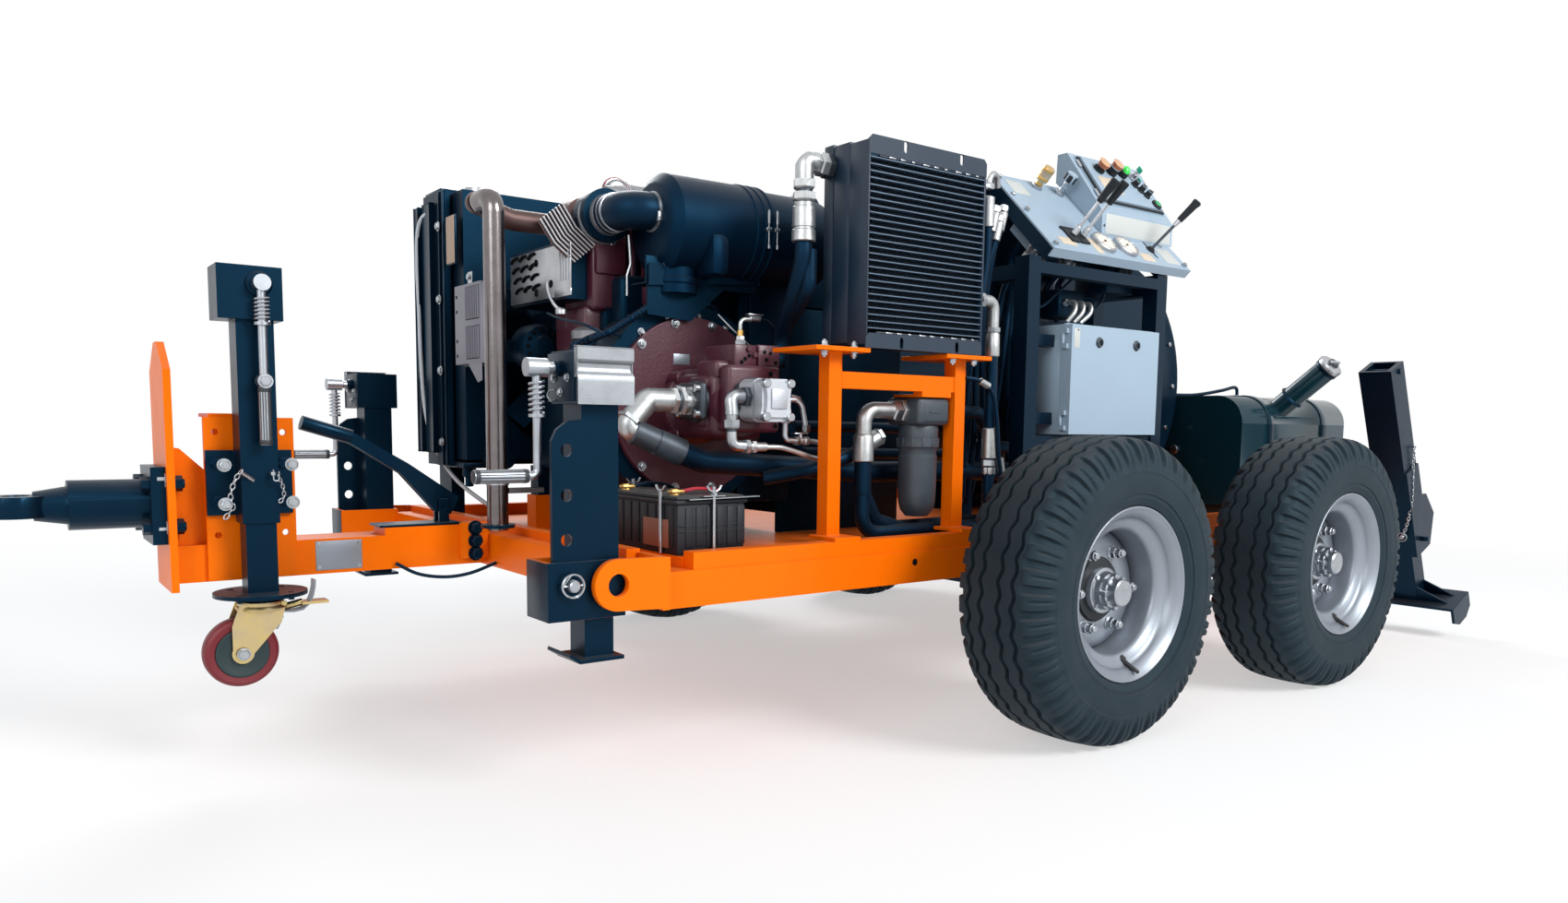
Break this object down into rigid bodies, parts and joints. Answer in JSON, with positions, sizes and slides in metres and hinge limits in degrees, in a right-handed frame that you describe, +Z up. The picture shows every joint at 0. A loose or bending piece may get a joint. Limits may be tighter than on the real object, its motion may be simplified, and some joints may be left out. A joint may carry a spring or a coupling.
{
  "type": "trailer mounted hydraulic power pack for a high pressure cleaning machine",
  "caption": "Tandem axle trailer with transverse diesel engine, hydraulic pumps, oil cooler, sloping control panel, jack, legs and rear spades.",
  "frame": {"origin": "on the ground, at the middle of the whole outline", "axes": "+X rearward along the trailer, -Y is its left side where the controls are, +Z up"},
  "size_m": [4.5094, 2.334, 1.606],
  "materials": {
    "orange_paint": "semi gloss",
    "black_paint": "semi gloss",
    "zinc_plate": "satin",
    "yellow_zinc": "satin",
    "caster_rubber": "matte",
    "tyre_rubber": "matte",
    "silver_paint": "satin",
    "black_plastic": "matte",
    "black_aluminium": "satin",
    "engine_casting": "satin",
    "hose_rubber": "matte",
    "exhaust_steel": "satin",
    "maroon_paint": "semi gloss",
    "pump_aluminium": "satin",
    "grey_paint": "semi gloss",
    "red_plastic": "gloss",
    "green_plastic": "gloss"
  },
  "bodies": {
    "chassis": {"chassis_frame": "orange_paint", "tow_coupling": "black_paint", "lynch_pins": "zinc_plate", "jack_outer": "black_paint", "leg_outer_l": "black_paint", "leg_outer_r": "black_paint", "spade_outer_l": "black_paint", "spade_outer_r": "black_paint", "axles": "black_paint", "handbrake_base": "black_paint", "battery": "black_plastic", "cooler_stand": "orange_paint", "oil_cooler": "black_aluminium", "return_filter": "black_aluminium", "engine_block": "engine_casting", "radiator": "black_aluminium", "air_cleaner": "black_plastic", "intake_hose": "hose_rubber", "exhaust_stack": "exhaust_steel", "pump_adapter": "maroon_paint", "main_pump": "maroon_paint", "gear_pump": "pump_aluminium", "suction_hose": "hose_rubber", "pressure_hoses": "hose_rubber", "return_hoses": "hose_rubber", "panel_stand": "black_paint", "control_panel": "grey_paint", "control_box": "grey_paint", "cabinet": "grey_paint", "fuel_tank": "black_paint", "oil_tank": "black_paint"},
    "jack_leg": {"jack_inner": "black_paint"},
    "caster": {"caster_fork": "yellow_zinc"},
    "caster_roll": {"caster_wheel": "caster_rubber"},
    "jack_handle": {"jack_crank": "zinc_plate"},
    "leg_left": {"leg_inner_l": "black_paint"},
    "leg_right": {"leg_inner_r": "black_paint"},
    "crank_left": {"leg_crank_l": "zinc_plate"},
    "crank_right": {"leg_crank_r": "zinc_plate"},
    "spade_left": {"spade_inner_l": "black_paint"},
    "spade_right": {"spade_inner_r": "black_paint"},
    "wheel_fl": {"tyre_fl": "tyre_rubber", "rim_fl": "silver_paint"},
    "wheel_rl": {"tyre_rl": "tyre_rubber", "rim_rl": "silver_paint"},
    "wheel_fr": {"tyre_fr": "tyre_rubber", "rim_fr": "silver_paint"},
    "wheel_rr": {"tyre_rr": "tyre_rubber", "rim_rr": "silver_paint"},
    "handbrake": {"handbrake_lever": "black_paint"},
    "valve_lever_a": {"lever_a": "black_plastic"},
    "valve_lever_b": {"lever_b": "black_plastic"},
    "valve_lever_c": {"lever_c": "black_plastic"},
    "lid": {"box_lid": "grey_paint"},
    "stop_push": {"stop_button": "red_plastic"},
    "start_push": {"start_button": "green_plastic"},
    "key": {"key_switch": "green_plastic"},
    "door": {"cabinet_door": "grey_paint"},
    "filler_cap": {"tank_cap": "black_plastic"},
    "fan": {"engine_fan": "black_plastic"}
  },
  "joints": [
    {"name": "jack_slide", "type": "slide", "parent": "chassis", "child": "jack_leg", "axis": [0, 0, 1], "range_m": [-0.19, 0.018]},
    {"name": "caster_swivel", "type": "hinge", "parent": "jack_leg", "child": "caster", "pos_m": [-1.778, -0.122, 0.366], "axis": [0, 0, 1], "continuous": true},
    {"name": "caster_spin", "type": "hinge", "parent": "caster", "child": "caster_roll", "pos_m": [-1.822, -0.122, 0.267], "axis": [0, 1, 0], "continuous": true},
    {"name": "jack_crank_turn", "type": "hinge", "parent": "chassis", "child": "jack_handle", "pos_m": [-1.77, -0.15, 1.053], "axis": [0, 1, 0], "continuous": true},
    {"name": "leg_slide_left", "type": "slide", "parent": "chassis", "child": "leg_left", "axis": [0, 0, 1], "range_m": [-0.29, 0.05]},
    {"name": "leg_slide_right", "type": "slide", "parent": "chassis", "child": "leg_right", "axis": [0, 0, 1], "range_m": [-0.29, 0.05]},
    {"name": "leg_crank_left", "type": "hinge", "parent": "chassis", "child": "crank_left", "pos_m": [-1.396, -0.72, 0.876], "axis": [1, 0, 0], "continuous": true},
    {"name": "leg_crank_right", "type": "hinge", "parent": "chassis", "child": "crank_right", "pos_m": [-1.396, 0.72, 0.876], "axis": [1, 0, 0], "continuous": true},
    {"name": "spade_slide_left", "type": "slide", "parent": "chassis", "child": "spade_left", "axis": [0.4067, 0, -0.9136], "range_m": [-0.04, 0.05]},
    {"name": "spade_slide_right", "type": "slide", "parent": "chassis", "child": "spade_right", "axis": [0.4067, 0, -0.9136], "range_m": [-0.04, 0.05]},
    {"name": "wheel_fl_spin", "type": "hinge", "parent": "chassis", "child": "wheel_fl", "pos_m": [-0.075, -1.037, 0.378], "axis": [0, 1, 0], "continuous": true},
    {"name": "wheel_rl_spin", "type": "hinge", "parent": "chassis", "child": "wheel_rl", "pos_m": [0.987, -1.037, 0.378], "axis": [0, 1, 0], "continuous": true},
    {"name": "wheel_fr_spin", "type": "hinge", "parent": "chassis", "child": "wheel_fr", "pos_m": [-0.075, 1.037, 0.378], "axis": [0, 1, 0], "continuous": true},
    {"name": "wheel_rr_spin", "type": "hinge", "parent": "chassis", "child": "wheel_rr", "pos_m": [0.987, 1.037, 0.378], "axis": [0, 1, 0], "continuous": true},
    {"name": "handbrake_pull", "type": "hinge", "parent": "chassis", "child": "handbrake", "pos_m": [-1.338, -0.013, 0.559], "axis": [0, 1, 0], "range_deg": [-20, 35]},
    {"name": "lever_a_tilt", "type": "hinge", "parent": "chassis", "child": "valve_lever_a", "pos_m": [0.252, -0.67533, 1.31415], "axis": [1, 0, 0], "range_deg": [-20, 20]},
    {"name": "lever_b_tilt", "type": "hinge", "parent": "chassis", "child": "valve_lever_b", "pos_m": [0.294, -0.67533, 1.31415], "axis": [1, 0, 0], "range_deg": [-20, 20]},
    {"name": "lever_c_tilt", "type": "hinge", "parent": "chassis", "child": "valve_lever_c", "pos_m": [0.637, -0.67109, 1.3184], "axis": [1, 0, 0], "range_deg": [-20, 20]},
    {"name": "lid_hinge", "type": "hinge", "parent": "chassis", "child": "lid", "pos_m": [0.61, -0.51502, 1.59469], "axis": [1, 0, 0], "range_deg": [-100, 0]},
    {"name": "stop_press", "type": "slide", "parent": "lid", "child": "stop_push", "axis": [0, 0.8121, -0.5835], "range_m": [0, 0.004], "stiffness_N_per_m": 700, "springref_m": -0.004},
    {"name": "start_press", "type": "slide", "parent": "lid", "child": "start_push", "axis": [0, 0.8121, -0.5835], "range_m": [0, 0.004], "stiffness_N_per_m": 500, "springref_m": -0.004},
    {"name": "key_turn", "type": "hinge", "parent": "lid", "child": "key", "pos_m": [0.691, -0.5448, 1.5521], "axis": [0, -0.8121, 0.5835], "range_deg": [0, 90]},
    {"name": "door_hinge", "type": "hinge", "parent": "chassis", "child": "door", "pos_m": [0.182, -0.714, 0.908], "axis": [0, 0, 1], "range_deg": [-110, 0]},
    {"name": "cap_turn", "type": "hinge", "parent": "chassis", "child": "filler_cap", "pos_m": [1.625, -0.751, 0.998], "axis": [0, -0.7705, 0.6374], "range_deg": [0, 90]},
    {"name": "fan_spin", "type": "hinge", "parent": "chassis", "child": "fan", "pos_m": [-0.782, 0.372, 0.976], "axis": [0, 1, 0], "continuous": true}
  ]
}
